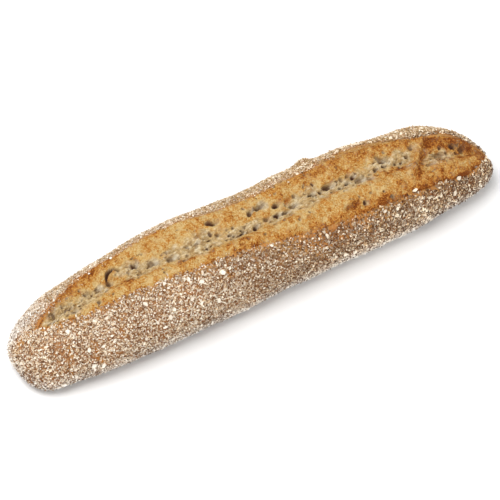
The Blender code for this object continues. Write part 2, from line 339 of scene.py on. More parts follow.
# Spots rubbed bare on the crust: X, Y, Z, reach
BARE_SPOTS = (
    (-0.1913, 0.0040, 0.0273, 0.0050),
    (-0.1740, -0.0180, 0.0350, 0.0036),
    (-0.1560, -0.0300, 0.0250, 0.0040),
    (-0.1040, -0.0400, 0.0220, 0.0036),
)
# Cracks down the crust: how deep they all are, then for each its X at the top, its X at the foot, its
# two angles from the top in degrees, and its width
CRACK_DEPTH = 0.0007
CRACKS = (
    (-0.1555, -0.1495, 50, 100, 0.0014),
    (-0.1700, -0.1750, 42, 92, 0.0010),
    (-0.0405, -0.0420, 38, 62, 0.0013),
    (-0.1290, -0.1310, 40, 75, 0.0008),
    (0.0860, 0.0900, 55, 95, 0.0009),
)
# A fold that crosses the slash: its X at Y = 0, its lean, its width and its drop
FOLD = (0.1440, 0.98, 0.0030, 0.0030)
FOLD_MIDDLE = -0.009
FOLD_REACH = 0.015
# How far the toasted edges reach into the slash along X, and how brown they are
BACK_TOAST = (
    (-0.18, 0.0045),
    (-0.10, 0.0055),
    (0.00, 0.0040),
    (0.09, 0.0070),
    (0.15, 0.0090),
    (0.19, 0.0110),
)
BACK_BROWN = (
    (-0.18, 0.55),
    (-0.13, 0.55),
    (-0.10, 0.22),
    (0.02, 0.16),
    (0.06, 0.26),
    (0.15, 0.20),
    (0.18, 0.50),
)
FRONT_TOAST = ((-0.18, 0.0022), (-0.06, 0.0026), (0.03, 0.0048), (0.10, 0.0048), (0.19, 0.0060))
FRONT_BROWN = ((-0.18, 0.36), (-0.06, 0.28), (0.02, 0.38), (0.10, 0.44), (0.19, 0.50))
# How brown the slash is throughout, and how much browner or paler each thing makes it
BASE_TOAST = 0.24
END_TOAST = 0.24
CRAG_TOAST = 0.18
WRINKLE_TOAST = 0.26
# Painted shadow: how much browner the slash is on the lower side past the fold
PAST_FOLD_SHADOW = 0.36
# Painted shade: how much browner the closed pits on the golden skin are
CLOSED_PIT_SHADE = 0.3
BEFORE_FOLD_PALER = 0.2
CRUMB_PALER = 0.2
# How brown the bare edge past each lip is: at least, and the share of the lip's own brown
EDGE_TOAST = (0.30, 0.75)

# Strewn bran, with lengths in millimetres: how many unlike flakes, how many in all, length, width as a
# share of it, thickness, tilt, lift off the crust, and the tone's mean and spread
STREWN = {
    "bran_specks": (12, 24000, (0.6, 1.2), (0.6, 1.0), (0.25, 0.5), 0.50, (0.10, 0.80), (0.55, 0.28)),
    "cream_chips": (16, 16500, (0.9, 2.0), (0.45, 0.85), (0.16, 0.30), 0.55, (0.25, 1.15), (0.55, 0.32)),
    "tan_chips": (16, 16500, (0.9, 2.0), (0.45, 0.85), (0.16, 0.30), 0.55, (0.10, 0.85), (0.50, 0.34)),
    "brown_chips": (16, 15000, (0.9, 2.0), (0.45, 0.85), (0.16, 0.30), 0.38, (0.05, 0.60), (0.50, 0.28)),
    "cracked_wheat": (12, 9500, (0.7, 1.5), (0.6, 0.9), (0.4, 0.8), 0.50, (0.20, 0.70), (0.50, 0.28)),
    "oat_flakes": (14, 190, (2.3, 4.2), (0.55, 0.80), (0.3, 0.5), 0.30, (0.50, 0.90), (0.45, 0.26)),
}
MM = 0.001
# How much longer the flakes are at the right end, and where along X that starts and ends
RIGHT_LONGER = 0.30
LONGER_RANGE = (0.0, 0.11)
# The largest flakes' lift off the crust, thickness, unlike shapes and seed
LARGE_LIFT = 0.0011
LARGE_THICKNESS = 0.0007
LARGE_KINDS = 5
LARGE_SEED = 31

# Each bran's colours where its tone is darkest and lightest
BRAN_COLOURS = {
    "cream_bran": ((0.51, 0.370, 0.245), (0.94, 0.86, 0.715)),
    "tan_bran": ((0.225, 0.118, 0.062), (0.765, 0.570, 0.365)),
    "brown_bran": ((0.10, 0.039, 0.016), (0.40, 0.185, 0.086)),
    "cracked_wheat": ((0.60, 0.41, 0.235), (0.95, 0.82, 0.63)),
    "rolled_oat": ((0.70, 0.56, 0.41), (0.92, 0.85, 0.73)),
}
# The bran's light colour for flour, and on the back flour and painted light; its greyer dark colour near the
# floor; its dark colour on the back, as painted light; and the tint of its light colour to the right
DUST_AND_BACK_LIGHT = (0.93, 0.905, 0.86, 1)
FLOOR_GREY = (0.16, 0.115, 0.090, 1)
PAINTED_LIGHT_GOLD = (0.42, 0.26, 0.10, 1)
WARMTH = (1.0, 0.945, 0.86, 1)
# The colour that the right end deepens to, and how far it does on the crust and on the bran
HARD_BAKED = (0.085, 0.024, 0.004, 1)
CRUST_DEEPER = 0.60
BRAN_DEEPER = 0.75
# How much the wide, middle and fine mottles brown the slash, and how much is taken off their sum
BROWNING = (0.46, 0.30, 0.80)
BROWNING_OFF = 0.76

# Rings along the loaf, and columns round each ring
RINGS = 628
SLASH_COLUMNS = 112
SIDE_COLUMNS = 16
BASE_COLUMNS = 8
COLUMNS = SLASH_COLUMNS + 2 * SIDE_COLUMNS + BASE_COLUMNS
LEAST_BAND = math.radians(26)
BASE_CORNER = math.radians(125)

# The camera: turn, height and distance as the photograph has them
CAMERA_TURN = math.radians(-32.64)
CAMERA_HEIGHT = math.radians(46)
CAMERA_DISTANCE = 2.5
CAMERA_LENS = 249.5
CAMERA_AIM = Vector((-0.0059, -0.0034, 0.0233))
# The lights: place, size and power
KEY_LIGHT = ((-0.85, 0.14, 2.0), 1.8, 45.0)
FILL_LIGHT = ((0.7, -1.75, 0.65), 1.4, 14.0)
SKY_STRENGTH = 0.58


# Curves and noise over arrays


def smooth_step(value, low=0.0, high=1.0):
    t = np.clip((value - low) / (high - low), 0.0, 1.0)
    return t * t * (3 - 2 * t)


def through(points, x):
    """Heights at x of a smooth curve through (x, y) points in order."""
    xs, ys = np.array(points).T
    slopes = np.gradient(ys, xs)
    x = np.clip(x, xs[0], xs[-1])
    k = np.clip(np.searchsorted(xs, x, side="right") - 1, 0, len(xs) - 2)
    span = xs[k + 1] - xs[k]
    t = (x - xs[k]) / span
    rise = ys[k + 1] - ys[k]
    pull_a = slopes[k] * span - rise
    pull_b = rise - slopes[k + 1] * span
    return ys[k] + rise * t + t * (1 - t) * (pull_a * (1 - t) + pull_b * t)


def fractal(places, size, octaves, rough=1.0):
    """Fractal noise of about -1 to 1 at an array of places."""
    flat = (places / size).reshape(-1, 3)
    values = [noise.fractal(Vector(place), rough, 2.0, octaves) for place in flat]
    return np.array(values).reshape(places.shape[:-1])


# The loaf's form


def taper(x, power):
    """Share of the full width or height left at x, round at both noses."""
    share = np.minimum(np.abs(x) / (LENGTH / 2), 1.0)
    return (1 - share**power) ** (1 / power)


def bend(x):
    """How far the loaf's middle line lies off the X axis: both noses come forwards a little."""
    return BEND * (1 / 3 - (2 * x / LENGTH) ** 2)


def hull(x, angle):
    """The loaf's plain form. The angle runs from the top, and is positive towards the front."""
    narrow = taper(x, OUTLINE_POWER)
    waist = WAIST_HEIGHT * (1 - NOSE_DROP * np.minimum(np.abs(x) / (LENGTH / 2), 1.0) ** 4)
    side = -np.sin(angle)
    up = np.cos(angle)
    square = 2 / BASE_POWER
    y = WIDTH / 2 * narrow * np.where(up >= 0, side, np.sign(side) * np.abs(side) ** square)
    crown = (HEIGHT - WAIST_HEIGHT) * taper(x, CROWN_POWER) * up
    belly = -(waist + BASE_CUT) * narrow * np.abs(up) ** square
    z = waist + np.where(up >= 0, crown, belly)
    return np.stack([x + 0 * angle, y + bend(x), z], axis=-1)


def lip_angle(lip, x):
    reach = np.maximum(WIDTH / 2 * taper(x, OUTLINE_POWER), 1e-4)
    return np.arcsin(np.clip((bend(x) - through(lip, x)) / reach, -LIP_LIMIT, LIP_LIMIT))


def even_stations(count):
    """X values along the loaf, evenly spaced on its outline, from nose to nose."""
    xs = LENGTH / 2 * np.sin(np.linspace(-math.pi / 2, math.pi / 2, 4001))
    steps = np.hypot(np.diff(xs), np.diff(WIDTH / 2 * taper(xs, OUTLINE_POWER)))
    run = np.concatenate([[0.0], np.cumsum(steps)])
    return np.interp(np.linspace(0, run[-1], count), run, xs)


def column_angles(back, front):
    """The angles of every ring's columns, from the back lip over the front and round under the base."""
    middle = (back + front) / 2
    half = np.maximum((front - back) / 2, LEAST_BAND / 2)
    stops = (
        (middle - half, middle + half, SLASH_COLUMNS),
        (middle + half, BASE_CORNER + 0 * middle, SIDE_COLUMNS),
        (BASE_CORNER + 0 * middle, 2 * math.pi - BASE_CORNER + 0 * middle, BASE_COLUMNS),
        (2 * math.pi - BASE_CORNER + 0 * middle, 2 * math.pi + middle - half, SIDE_COLUMNS),
    )
    bands = [np.linspace(start, stop, count, endpoint=False, axis=1) for start, stop, count in stops]
    return np.concatenate(bands, axis=1)


def slash_height(across, seam):
    """The torn crumb's height over the hull, across the slash from -1 (back lip) to 1 (front lip)."""
    t = np.clip((across + 1) / (seam + 1), 0, 1)
    wall = EAR_RISE * (1 - t) ** 2 - VALLEY_DEPTH * np.sin(t * math.pi / 2) ** EAR_POWER
    u = np.clip((across - seam) / (1 - seam), 0, 1)
    roll = (ROLL_RISE + VALLEY_DEPTH) * np.sin(np.minimum(u / ROLL_SHARE, 1) * math.pi / 2) ** ROLL_POWER
    settle = (LIP_RISE - ROLL_RISE) * smooth_step(u, ROLL_SHARE, 1)
    return np.where(across < seam, wall, roll - VALLEY_DEPTH + settle)


# The torn slash: its open crumb, pores, strands and toasted edges


def open_crumb(place):
    """How open and pale the crumb is, from 0 on the golden skin to 1."""
    ragged = fractal(place, 0.0065, 3) * 0.35
    best = np.full(place.shape[:-1], -1.0)
    for x, y, length, width in CRUMB_PATCHES:
        spread = np.hypot((place[..., 0] - x) / (length / 2), (place[..., 1] - y) / (width / 2))
        best = np.maximum(best, 1.1 - spread)
    return smooth_step(best + ragged, -0.05, 0.45)


def add_pore(pits, place, pore, warp):
    """Sinks one pore: a steep pit, darkest to its left with painted shade, with a thin rim and a pale right
    wall of painted light.
    """
    x, y, length, width, depth, darkness, turn = pore
    turn = math.radians(turn)
    rows = np.abs(place[:, 0, 0] - x) < length
    if not rows.any():
        return
    along = place[rows, :, 0] + warp[rows] - x
    over = place[rows, :, 1] - warp[rows] - y
    dx = (along * math.cos(turn) + over * math.sin(turn)) / (length / 2)
    dy = (over * math.cos(turn) - along * math.sin(turn)) / (width / 2)
    apart = np.hypot(dx, dy)
    sunk = 1 - smooth_step(apart, 0.35, 1.05)
    opened = smooth_step(darkness, 0.3, 0.5)
    walled = smooth_step(length, 0.002, 0.007)
    shapes = {
        "sunk": sunk * depth,
        "rim": np.exp(-(((apart - 1.2) / 0.16) ** 2)) * PORE_RIM * depth,
        "pale": sunk * opened,
        # Painted shade, darkest on the pit's left side, away from the light
        "dark": (1 - smooth_step(np.hypot(dx + 0.22, dy - 0.12), 0.45, 0.85)) * darkness * opened,
        # Painted light on the pit's right wall, which faces the light
        "wall": np.exp(-4 * ((dx - 0.62) ** 2 + (dy / 1.6 + 0.1) ** 2)) * opened * walled,
        # Painted shade in the closed pits on the golden skin
        "closed_pit_shade": sunk * (1 - opened),
    }
    for name, shape in shapes.items():
        pits[name][rows] = np.maximum(pits[name][rows], shape)


def crescent_pores():
    """Overlapping round pits along an arc, narrower at its ends."""
    middle_x, middle_y, radius, start, stop, width, depth = CRESCENT
    for share in np.linspace(0, 1, 15):
        turn = math.radians(start + (stop - start) * share)
        size = width * (0.62 + 0.38 * math.sin(math.pi * share))
        x = middle_x + radius * math.cos(turn)
        yield x, middle_y + radius * math.sin(turn), size, size, depth, 1.0, 0


def small_pores(rng, crumb_at):
    """Random small pores, crowded in the open crumb and few on the golden skin."""
    x = rng.uniform(BACK_LIP[0][0], BACK_LIP[-1][0] - 0.008, SMALL_PORE_TRIES)
    share = rng.uniform(0.12, 0.88, SMALL_PORE_TRIES)
    y = through(BACK_LIP, x) * share + through(FRONT_LIP, x) * (1 - share)
    least_chance, more = SMALL_PORE_CHANCE
    chance = least_chance + more * crumb_at(np.stack([x, y, 0 * x], axis=-1))
    kept = rng.random(SMALL_PORE_TRIES) < chance
    least, most = SMALL_PORE_RADIUS
    radius = least + (most - least) * rng.random(SMALL_PORE_TRIES) ** 2.0
    stretch = rng.uniform(1.0, 2.2, SMALL_PORE_TRIES)
    darkness = rng.uniform(0.25, 0.70, SMALL_PORE_TRIES)
    turn = rng.normal(0, 30, SMALL_PORE_TRIES)
    for k in np.flatnonzero(kept):
        r = radius[k]
        yield x[k], y[k], 2 * r * stretch[k], 2 * r, 1.3 * r, darkness[k], turn[k]


def slanted(place, stretch):
    """Places turned to the strands' slant and drawn out along it."""
    turned = place.copy()
    turned[..., 0] = place[..., 0] * math.cos(STRAND_SLANT) - place[..., 1] * math.sin(STRAND_SLANT)
    turned[..., 1] = place[..., 0] * math.sin(STRAND_SLANT) + place[..., 1] * math.cos(STRAND_SLANT)
    turned[..., 0] /= stretch
    return turned


def strands(place):
    """Gluten strands, pulled slantwise across the tear as it opened."""
    size, depth = STRANDS
    return depth * (1 - 2 * np.abs(fractal(slanted(place, STRAND_STRETCH), size, 2)))


def crumb_cells(place):
    """Hollow cells of the open crumb, from 0 on the webs between them to 1, each of its own depth."""
    flat = (slanted(place, 1.5) / CELLS[0]).reshape(-1, 3)
    hollow = np.empty(len(flat))
    for k, spot in enumerate(flat):
        distances, centres = noise.voronoi(Vector(spot))
        deep = 0.5 + 0.5 * noise.noise(centres[0] * 7.3)
        hollow[k] = min(max((distances[1] - distances[0] - 0.06) / 0.45, 0.0), 1.0) * deep
    return hollow.reshape(place.shape[:-1])


def patches(place, ragged):
    """The strength of the toasted patches over the slash."""
    strength = np.zeros(place.shape[:-1])
    for x, y, length, width, most in TOASTED_PATCHES:
        spread = np.hypot((place[..., 0] - x) / (length / 2), (place[..., 1] - y) / (width / 2))
        strength = np.maximum(strength, most * smooth_step(1.35 - spread + 0.6 * ragged, 0.0, 1.0))
    return strength


def skin_grid():
    """Every ring and column of the loaf's skin, and the masks that its finishes read."""
    x = even_stations(RINGS)[:, None]
    back = lip_angle(BACK_LIP, x)
    front = lip_angle(FRONT_LIP, x)
    angle = column_angles(back[:, 0], front[:, 0])
    angle = np.where(angle > math.pi, angle - 2 * math.pi, angle)
    across = (2 * angle - back - front) / np.maximum(front - back, 1e-3)
    opened = smooth_step((x - BACK_LIP[0][0]) / SLASH_FADE) * smooth_step((BACK_LIP[-1][0] - x) / SLASH_FADE)
    half_mouth = (front - back) / 2 * WIDTH / 2
    beyond = (np.abs(across) - 1) * half_mouth
    base = hull(x, angle)
    torn = (beyond < 0) & (opened > 0)

    seam_y = through(SEAM, x)
    mouth = np.maximum(through(BACK_LIP, x) - through(FRONT_LIP, x), 1e-4)
    seam = (through(BACK_LIP, x) + through(FRONT_LIP, x) - 2 * seam_y) / mouth
    seam = np.clip(seam, -SEAM_LIMIT, SEAM_LIMIT)

    place = base[:, :SLASH_COLUMNS]
    layer = (slice(None), slice(0, SLASH_COLUMNS))
    crumb = open_crumb(place)
    crag = CRAGS[1] * fractal(place, CRAGS[0], 3, rough=0.8)
    wrinkle = WRINKLES[1] * fractal(place, WRINKLES[0], 3)
    pits = {name: np.zeros(crumb.shape) for name in ("sunk", "rim", "pale", "dark", "wall", "closed_pit_shade")}
    warp = fractal(place, 0.0025, 2) * 0.0005
    for pore in PORES:
        add_pore(pits, place, pore, warp)
    for pore in crescent_pores():
        add_pore(pits, place, pore, warp * 0.5)
    for pore in small_pores(np.random.default_rng(SMALL_PORE_SEED), open_crumb):
        add_pore(pits, place, pore, warp * 0.4)
    hollow = crumb_cells(place) * crumb

    fold_x, lean, fold_width, drop = FOLD
    past = (place[..., 0] - fold_x - lean * place[..., 1] + warp * 2) / fold_width
    fold_reach = np.exp(-(((place[..., 1] - FOLD_MIDDLE) / FOLD_REACH) ** 4))
    ditch = 0.6 * smooth_step(past, 0, 1) * (1 - smooth_step(past, 1, 6))
    fold = drop * fold_reach * (np.exp(-(past**2)) - ditch)

    relief = slash_height(across[layer], seam) + crag + fold
    relief += wrinkle * (0.6 + 0.9 * crumb) + strands(place) * (0.35 + 0.65 * crumb)
    relief += pits["rim"] - pits["sunk"] - CELLS[1] * hollow

    rise = np.where(across < 0, EAR_RISE, LIP_RISE) * opened * np.exp(-np.maximum(beyond, 0) / LIP_REACH)
    rise[layer] = np.where(torn[layer], relief * opened, rise[layer])
    rise += CRUST_WAVE[1] * fractal(base, CRUST_WAVE[0], 2)
    for middle, turn, reach, spread, height in SWELLS:
        round_share = (1 - np.cos(angle - math.radians(turn))) / (1 - math.cos(math.radians(spread)))
        rise += height * np.exp(-(((x - middle) / reach) ** 2) - round_share)
    knob_x, turn, reach, height = KNOB
    knob = hull(np.array(knob_x), np.array(turn))
    rise += height * np.exp(-((np.linalg.norm(base - knob, axis=-1) / reach) ** 2))
    cracked = cracks(x, angle)
    rise -= CRACK_DEPTH * cracked

    out = np.stack([0 * angle, -np.sin(angle), np.cos(angle)], axis=-1)
    points = base + out * rise[..., None]
    points[..., 1] -= SET_FORWARD
    points[..., 2] = np.maximum(points[..., 2], FLOOR_GAP)

    ragged = fractal(base, 0.0045, 3)
    toast_and_shade = np.zeros(angle.shape)
    deep = -beyond[layer]
    behind = across[layer] < seam
    edge = np.where(behind, through(BACK_TOAST, x), through(FRONT_TOAST, x))
    brown = np.where(behind, through(BACK_BROWN, x), through(FRONT_BROWN, x))
    lips = brown * np.exp(-((np.maximum(deep, 0) / (edge * (1 + 0.6 * ragged[layer]))) ** 2))
    end = smooth_step(x, 0.02, 0.19) * END_TOAST
    high = np.clip(crag / CRAGS[1], -1, 1) * CRAG_TOAST
    high += np.clip(wrinkle / WRINKLES[1], -1, 1) * WRINKLE_TOAST
    # Painted shadow on the lower side past the fold: it browns the slash there and takes away its pale crumb
    after_fold = np.exp(-(((past - 1.4) / 1.9) ** 2)) * fold_reach
    before_fold = np.exp(-(((past + 1.6) / 1.2) ** 2)) * fold_reach
    ridge = np.exp(-(((across[layer] - seam - 0.20) / 0.10) ** 2)) * np.clip(0.25 + ragged[layer], 0, 0.5)
    browned_and_shaded = BASE_TOAST + lips + end + high + PAST_FOLD_SHADOW * after_fold - BEFORE_FOLD_PALER * before_fold
    browned_and_shaded = browned_and_shaded + ridge - CRUMB_PALER * crumb + CLOSED_PIT_SHADE * pits["closed_pit_shade"]
    toast_and_shade[layer] = browned_and_shaded + patches(place, ragged[layer])

    masks = {name: np.zeros(angle.shape) for name in ("crumb", "pit", "wall")}
    masks["toast_and_shade"] = np.clip(toast_and_shade, 0, 1)
    paler = 1 - 0.40 * smooth_step(x, 0.130, 0.165)
    # Painted shade: the pale crumb fades in the hollows of its cells, and painted shadow takes it away past
    # the fold
    web = np.maximum(crumb * (1 - 0.35 * hollow), 0.7 * before_fold) * (1 - 0.9 * after_fold)
    masks["crumb"][layer] = np.maximum(web, pits["pale"]) * smooth_step(deep, 0.0005, 0.003) * paler
    # Painted shade in the pores and in the cells' hollows
    masks["pit"][layer] = np.maximum(pits["dark"], 0.30 * hollow)
    masks["wall"][layer] = pits["wall"] * (0.3 + 0.7 * crumb) * (1 - 0.8 * smooth_step(x, 0.150, 0.166))
    bare = np.where(across < 0, through(BACK_BARE, x), through(FRONT_BARE, x))
    past_ends = np.maximum(x - BACK_LIP[-1][0] + 0.002, 0) + np.maximum(BACK_LIP[0][0] + 0.002 - x, 0)
    outside = beyond + past_ends - bare + RAGGED_LIP * ragged
    middle, reach, depth = RED_PATCH
    down_side = 1 - smooth_step(outside, 0.2 * depth, depth)
    red = np.exp(-(((x - middle) / reach) ** 2)) * (across > 0) * down_side
    glow = np.exp(-np.maximum(outside, 0) / np.where(across < 0, BACK_GLOW, FRONT_GLOW))
    edge_brown = np.where(across < 0, through(BACK_BROWN, x), through(FRONT_BROWN, x))
    past_lip = EDGE_TOAST[0] + edge_brown * (EDGE_TOAST[1] + 0.5 * ragged)
    glow = np.maximum(np.maximum(glow * past_lip * 1.2, 0.8 * red), cracked)
    masks["toast_and_shade"] = np.clip(np.where(torn, masks["toast_and_shade"], np.where(outside < 0, past_lip, glow)), 0, 1)
    crust_places = {"outside": outside, "red": red, "cracked": cracked, "behind": 1.0 * (across < 0)}
    return points, torn | (outside < 0), crust_places, masks


def cracks(x, angle):
    """Where the crust has split down its side, from 0 to 1."""
    split = np.zeros(angle.shape)
    for top, foot, start, stop, width in CRACKS:
        share = (np.degrees(angle) - start) / (stop - start)
        line = top + (foot - top) * share + 0.0012 * np.sin(share * 9)
        within = smooth_step(share, -0.05, 0.15) * (1 - smooth_step(share, 0.85, 1.05))
        split = np.maximum(split, np.exp(-(((x - line) / width) ** 2)) * within)
    return split


# Meshes


def new_piece(name, mesh, *finishes):
    piece = bpy.data.objects.new(name, mesh)
    bpy.context.scene.collection.objects.link(piece)
    for finish in finishes:
        mesh.materials.append(finish)
    return piece


def add_mask(mesh, name, values):
    mask = mesh.attributes.new(name, "FLOAT", "POINT")
    mask.data.foreach_set("value", values.astype(np.float32))


def make_skin(crust, crumb):
    """A UV sphere, its poles at the noses, moved ring by ring onto the loaf."""
    points, torn, crust_places, masks = skin_grid()
    bm = bmesh.new()
    bmesh.ops.create_uvsphere(bm, u_segments=COLUMNS, v_segments=RINGS - 1, radius=1.0)
    rings = np.empty(len(bm.verts), int)
    columns = np.empty(len(bm.verts), int)
    for vert in bm.verts:
        latitude = math.asin(min(max(vert.co.z, -1.0), 1.0))
        longitude = math.atan2(vert.co.y, vert.co.x) % (2 * math.pi)
        ring = round((latitude + math.pi / 2) / math.pi * (RINGS - 1))
        column = round(longitude / (2 * math.pi) * COLUMNS) % COLUMNS
        rings[vert.index] = ring
        columns[vert.index] = column
        vert.co = points[ring, column]
    bm.normal_update()
    bmesh.ops.recalc_face_normals(bm, faces=bm.faces)
    in_slash = torn[rings, columns]
    for face in bm.faces:
        face.material_index = int(all(in_slash[vert.index] for vert in face.verts))
        face.smooth = True
    mesh = bpy.data.meshes.new("loaf_skin")
    bm.to_mesh(mesh)
    bm.free()
    for name, values in masks.items():
        add_mask(mesh, name, values[rings, columns])
    skin = new_piece("loaf_skin", mesh, crust, crumb)
    return skin, {name: values[rings, columns] for name, values in crust_places.items()}


# Bran, cracked wheat and oat flakes


def speck(rng):
    """A crumb of bran: a squat three-sided wedge."""
    bm = bmesh.new()
    bmesh.ops.create_cone(bm, cap_ends=True, segments=3, radius1=0.62, radius2=0.45, depth=1.0)
    return worn(bm, rng, 0.10)


def chip(rng):
    """A thin, bowed, angular chip of bran."""
    bm = bmesh.new()
    bmesh.ops.create_cone(bm, cap_ends=True, segments=4, radius1=0.62, radius2=0.54, depth=1.0)
    vertices, faces = worn(bm, rng, 0.10)
    bow = rng.uniform(0.2, 1.5)
    vertices[:, 2] += bow * (vertices[:, 0] ** 2 - 0.12)
    return vertices, faces


def grit(rng):
    """A chunk of cracked wheat, with six uneven sides."""
    bm = bmesh.new()
    bmesh.ops.create_cube(bm, size=0.8)
    return worn(bm, rng, 0.12)


def oat(rng):
    """A rolled oat: a thin plate with a ragged, angular edge and one side curled up."""
    bm = bmesh.new()
    bmesh.ops.create_cone(bm, cap_ends=True, segments=7, radius1=0.52, radius2=0.42, depth=1.0)
    vertices, faces = worn(bm, rng, 0.06)
    around = np.arctan2(vertices[:, 1], vertices[:, 0])
    ragged = sum(rng.uniform(0.05, 0.14) * np.sin(k * around + rng.uniform(0, 6)) for k in (2, 3))
    vertices[:, :2] *= (1 + ragged)[:, None]
    vertices[:, 2] += rng.uniform(0.6, 1.8) * vertices[:, 0] * np.abs(vertices[:, 0])
    return vertices, faces


def worn(bm, rng, jitter):
    """The bmesh as arrays of corners and triangles, each corner knocked a little out of place."""
    bmesh.ops.triangulate(bm, faces=bm.faces)
    vertices = np.array([vert.co for vert in bm.verts])
    faces = np.array([[vert.index for vert in face.verts] for face in bm.faces])
    bm.free()
    return vertices + rng.normal(0, jitter, vertices.shape), faces


def crust_cover(mesh, crust_places):
    """How thickly bran lies at each corner of the skin: bare in the slash, thin under the base."""
    places = np.empty(len(mesh.vertices) * 3)
    mesh.vertices.foreach_get("co", places)
    places = places.reshape(-1, 3)
    frayed = crust_places["outside"] + FRAY * fractal(places, 0.0018, 2)
    cover = smooth_step(frayed / (1 + 1.6 * crust_places["behind"]), -0.0026, 0.0034)
    cover **= 1 + crust_places["behind"]
    cover *= 1 - BARER["base"] * (places[:, 2] < FLOOR_GAP + 0.0001)
    cover *= (1 - BARER["red"] * crust_places["red"]) * (1 - BARER["crack"] * crust_places["cracked"])
    under_lip = np.exp(-((crust_places["outside"] / UNDER_LIP) ** 2)) * (1 - crust_places["behind"])
    cover *= 1 - BARER["under_lip"] * under_lip * smooth_step(places[:, 0], -0.06, 0.04)
    for x, y, z, reach in BARE_SPOTS:
        apart = np.linalg.norm(places - (x, y, z), axis=1) / reach
        cover *= 1 - BARER["spot"] * np.exp(-(apart**2))
    return cover * (0.82 + 0.35 * fractal(places, 0.012, 2))


def spread_spots(mesh, cover, count, rng):
    """Spots on the skin's triangles, more of them where the cover is thick, with their normals."""
    mesh.calc_loop_triangles()
    corners = np.empty(len(mesh.loop_triangles) * 3, int)
    areas = np.empty(len(mesh.loop_triangles))
    mesh.loop_triangles.foreach_get("vertices", corners)
    mesh.loop_triangles.foreach_get("area", areas)
    corners = corners.reshape(-1, 3)
    places = np.empty(len(mesh.vertices) * 3)
    normals = np.empty(len(mesh.vertices) * 3)
    mesh.vertices.foreach_get("co", places)
    mesh.vertices.foreach_get("normal", normals)
    run = np.cumsum(areas * np.maximum(cover[corners].mean(axis=1), 0))
    draws = (np.arange(count) + rng.random(count)) / count * run[-1]
    chosen = corners[np.searchsorted(run, draws)]
    shares = rng.dirichlet((1, 1, 1), count)[..., None]
    spots = (places.reshape(-1, 3)[chosen] * shares).sum(axis=1)
    outward = (normals.reshape(-1, 3)[chosen] * shares).sum(axis=1)
    return spots, outward / np.linalg.norm(outward, axis=1, keepdims=True)


def turned_about(up, rng):
    """Axes for every flake: its own random turn about the way it faces."""
    up = up / np.linalg.norm(up, axis=1, keepdims=True)
    along = np.cross(up, rng.normal(0, 1, up.shape))
    along /= np.linalg.norm(along, axis=1, keepdims=True)
    return np.stack([along, np.cross(up, along), up], axis=-1)


def join_flakes(name, shape, kinds, rng, spots, turns, sizes, tone, finish):
    """One piece of many flakes, each one of a few kinds at its own spot, turn, size and tone."""
    picks = rng.integers(0, kinds, len(spots))
    all_places, all_faces, all_tones = [], [], []
    first = 0
    for kind in range(kinds):
        vertices, faces = shape(rng)
        mine = picks == kind
        local = vertices[None] * sizes[mine][:, None]
        places = np.einsum("nij,nvj->nvi", turns[mine], local) + spots[mine][:, None]
        below = np.minimum(places[..., 2].min(axis=1), 0.0)
        places[..., 2] -= below[:, None]
        offsets = first + np.arange(len(places)) * len(vertices)
        all_faces.append((faces[None] + offsets[:, None, None]).reshape(-1, 3))
        all_places.append(places.reshape(-1, 3))
        all_tones.append(np.repeat(tone[mine], len(vertices)))
        first += len(places) * len(vertices)
    mesh = bpy.data.meshes.new(name)
    mesh.from_pydata(np.concatenate(all_places), [], np.concatenate(all_faces))
    add_mask(mesh, "tone", np.concatenate(all_tones))
    return new_piece(name, mesh, finish)


def tone_shift(spots):
    """How much paler or darker than its own kind the bran is at each spot."""
    x, y, z = spots.T
    least, depth, size = BRAN_PATCHES
    # Painted light: the bran is paler on the back and at the left end's back
    shift = least + depth * fractal(spots, size, 2) + BACK_PAINTED_LIGHT * smooth_step(y, *BACKWARD)
    shift += LEFT_END_PAINTED_LIGHT * (1 - smooth_step(x, *LEFT_END)) * (y > 0)
    baked = RIGHT_DARKER * smooth_step(x, *RIGHTWARD) * (1 - 0.8 * smooth_step(y, 0, 0.01))
    baked += RED_DARKER * np.exp(-(((x - RED_PATCH[0]) / RED_PATCH[1]) ** 2)) * (y < 0)
    shift -= baked * smooth_step(z, *OFF_FLOOR) * (1 + 0.5 * smooth_step(z, *NEAR_LIP))
    # Painted light on the bran at the foot
    foot_x, reach, paler = FOOT_PAINTED_LIGHT
    foot = 1 - smooth_step(z, *FOOT_RISE)
    return shift + paler * np.exp(-(((x - foot_x) / reach) ** 2)) * foot


def strew(name, shape, skin, cover, finish, seed):
    """Joins one flake for every spot on the crust into a single piece."""
    kinds, count, length, width, thickness, tilt, lift, tones = STREWN[name]
    length, thickness, lift = ([value * MM for value in pair] for pair in (length, thickness, lift))
    rng = np.random.default_rng(seed)
    spots, outward = spread_spots(skin.data, cover, count, rng)
    turns = turned_about(outward + rng.normal(0, tilt, outward.shape), rng)
    longer = 1 + RIGHT_LONGER * smooth_step(spots[:, 0], *LONGER_RANGE)
    lengths = rng.uniform(*length, count) * longer
    widths = lengths * rng.uniform(*width, count)
    sizes = np.stack([lengths, widths, rng.uniform(*thickness, count)], axis=-1)
    spots = spots + outward * rng.uniform(*lift, count)[:, None]
    shift = tone_shift(spots)
    uneven = tones[1] * (1 + 0.9 * smooth_step(spots[:, 0], -0.05, 0.08))
    tone = np.clip(rng.normal(tones[0], uneven, count) + shift, 0, 1)
    return join_flakes(name, shape, kinds, rng, spots, turns, sizes, tone, finish)


